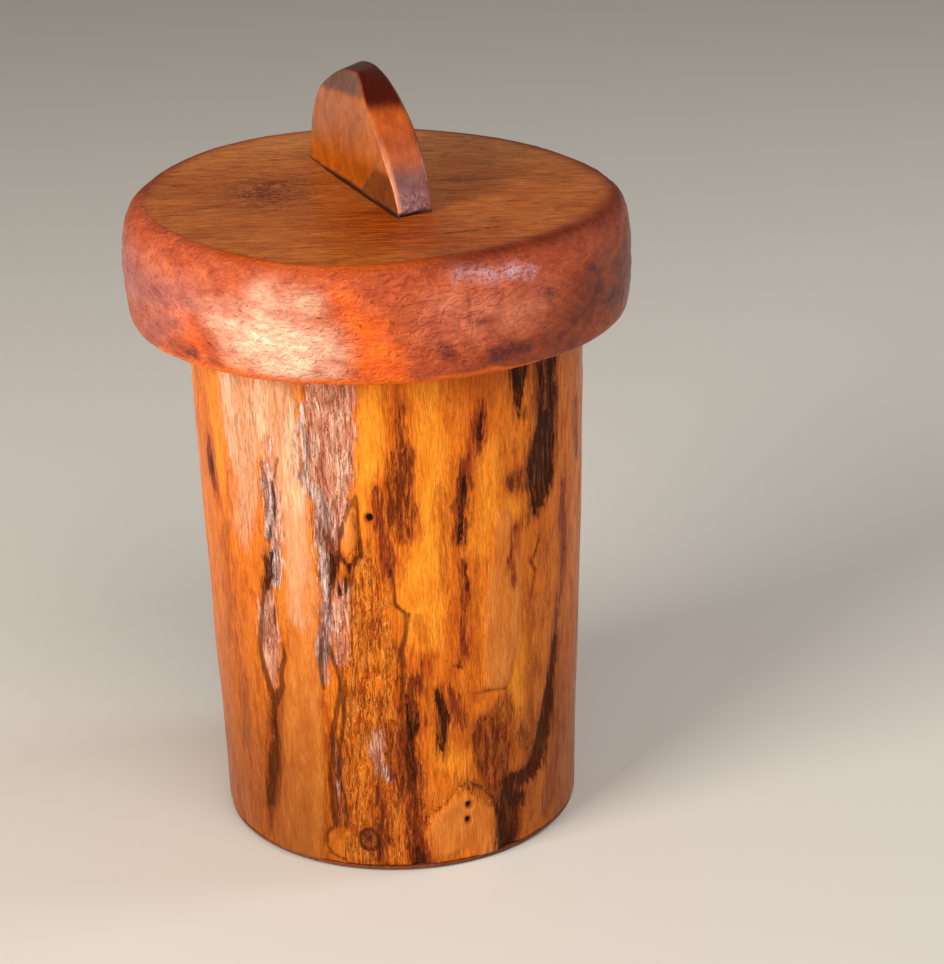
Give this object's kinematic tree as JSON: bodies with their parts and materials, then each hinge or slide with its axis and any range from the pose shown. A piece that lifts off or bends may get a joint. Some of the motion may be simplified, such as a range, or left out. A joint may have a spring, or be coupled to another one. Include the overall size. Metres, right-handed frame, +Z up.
{
  "type": "lidded wooden canister",
  "caption": "Tapered log cup with a plugged foot and a thick overhanging lift-off lid, carried by a carved half-moon fin.",
  "frame": {"origin": "centre of the flat foot, on the axis of the bore", "axes": "+Z up along the bore, -Y towards the side the picture shows"},
  "size_m": [0.1156, 0.1156, 0.1792],
  "materials": {
    "log_wood": "varnished natural log surface with dark streaks",
    "lid_wood": "varnished reddish hardwood, hand shaped",
    "fin_wood": "varnished carved hardwood",
    "pale_wood": "plain dowel",
    "brass": "dull screw"
  },
  "bodies": {
    "mug": {"body": "log_wood", "base_disc": "lid_wood"},
    "lid_assembly": {"lid": "lid_wood", "lid_spigot": "lid_wood", "handle": "fin_wood", "handle_dowel_front": "pale_wood", "handle_dowel_rear": "pale_wood", "spigot_screw_1": "brass", "spigot_screw_2": "brass", "spigot_screw_3": "brass"}
  },
  "joints": [
    {"name": "lid_lift", "type": "slide", "parent": "mug", "child": "lid_assembly", "axis": [0, 0, 1], "range_m": [0, 0.06]}
  ]
}
